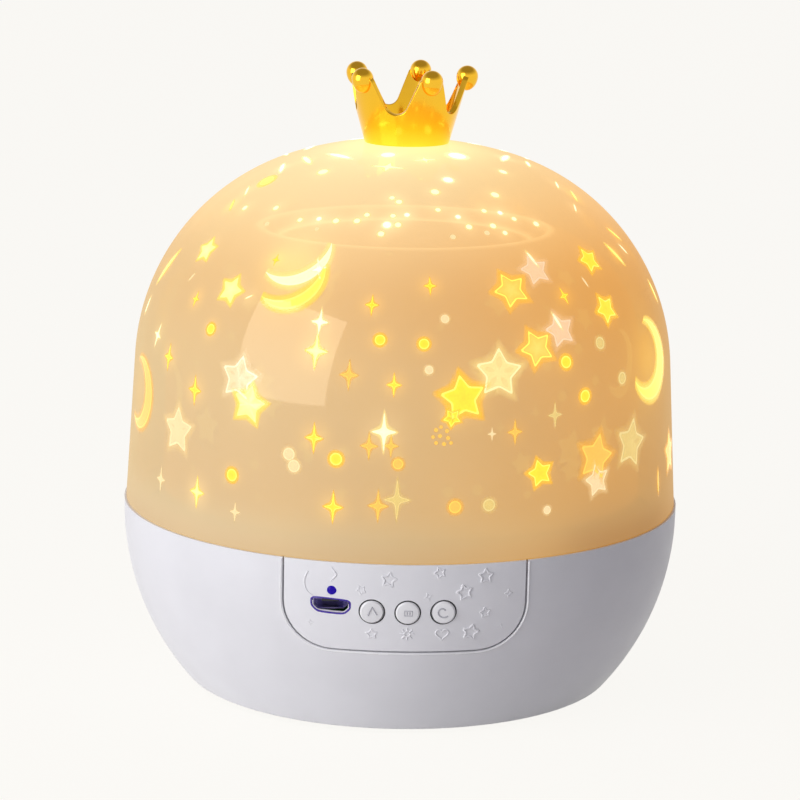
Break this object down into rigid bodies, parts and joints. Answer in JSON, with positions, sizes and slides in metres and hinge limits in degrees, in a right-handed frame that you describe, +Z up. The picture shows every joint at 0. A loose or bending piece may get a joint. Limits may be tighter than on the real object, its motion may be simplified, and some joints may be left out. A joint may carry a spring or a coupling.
{
  "type": "star night light projector",
  "caption": "Battery night light: bowl base with push buttons, tinted dome over a turning printed star drum, and a crown on top.",
  "frame": {"origin": "centre of the plane that the rubber feet stand on", "axes": "+Z up along the drum's axis, the control panel faces -Y, +X to the viewer's right of it"},
  "size_m": [0.13, 0.13, 0.1444],
  "materials": {
    "white_shell": "satin moulded",
    "white_panel": "satin moulded with raised ornament",
    "white_button": "smooth",
    "steel": "zinc plated",
    "foot_rubber": "matt",
    "black_plastic": "matt",
    "tin_plate": "bright",
    "circuit_board": "solder mask",
    "led_white": "smooth",
    "blue_indicator": "clear, lit blue",
    "cell_wrap": "shrink wrap",
    "inner_plastic": "moulded",
    "gear_plastic": "natural acetal",
    "printed_film": "translucent printed shade",
    "led_emitter": "warm emitter",
    "clear_lens": "clear moulded",
    "amber_dome": "clear warm tinted plastic, polished",
    "gold_plate": "polished gold plating"
  },
  "bodies": {
    "base": {"base_shell": "white_shell", "bottom_cover": "white_shell", "case_screws": "steel", "rubber_feet": "foot_rubber", "control_panel": "white_panel", "tact_switches": "tin_plate", "control_board": "circuit_board", "board_screws": "steel", "usb_socket": "tin_plate", "usb_tongue": "black_plastic", "charge_led": "led_white", "light_pipe": "blue_indicator", "battery": "cell_wrap", "battery_cradle": "inner_plastic", "battery_strap": "black_plastic", "deck": "inner_plastic", "deck_screws": "steel", "gear_motor": "tin_plate", "motor_screws": "steel", "lamp_post": "inner_plastic", "post_screws": "steel", "thrust_washer": "gear_plastic", "retaining_ring": "steel", "lamp_head": "inner_plastic", "led_board": "led_white", "led_chips": "led_emitter", "lamp_lens": "clear_lens"},
    "button_left": {"button_left": "white_button", "plunger_left": "black_plastic"},
    "button_middle": {"button_middle": "white_button", "plunger_middle": "black_plastic"},
    "button_right": {"button_right": "white_button", "plunger_right": "black_plastic"},
    "turntable": {"turntable": "inner_plastic", "ring_gear": "gear_plastic", "star_drum": "printed_film", "star_disc": "printed_film"},
    "pinion": {"motor_shaft": "steel", "drive_pinion": "gear_plastic"},
    "cover": {"outer_dome": "amber_dome", "crown": "gold_plate", "crown_screw": "steel"}
  },
  "joints": [
    {"name": "drum_turn", "type": "hinge", "parent": "base", "child": "turntable", "pos_m": [0, 0, 0.0415], "axis": [0, 0, 1], "continuous": true},
    {"name": "pinion_turn", "type": "hinge", "parent": "base", "child": "pinion", "pos_m": [0, 0.03, 0.0415], "axis": [0, 0, 1], "continuous": true},
    {"name": "dome_lift", "type": "slide", "parent": "base", "child": "cover", "axis": [0, 0, 1], "range_m": [0, 0.1]},
    {"name": "button_left_press", "type": "slide", "parent": "base", "child": "button_left", "axis": [0, 0.9895, 0.1443], "range_m": [0, 0.0005], "stiffness_N_per_m": 300},
    {"name": "button_middle_press", "type": "slide", "parent": "base", "child": "button_middle", "axis": [0, 0.9895, 0.1443], "range_m": [0, 0.0005], "stiffness_N_per_m": 300},
    {"name": "button_right_press", "type": "slide", "parent": "base", "child": "button_right", "axis": [0, 0.9895, 0.1443], "range_m": [0, 0.0005], "stiffness_N_per_m": 300}
  ],
  "couplings": [
    {"joint": "pinion_turn", "follows": "drum_turn", "ratio": -2.75}
  ]
}
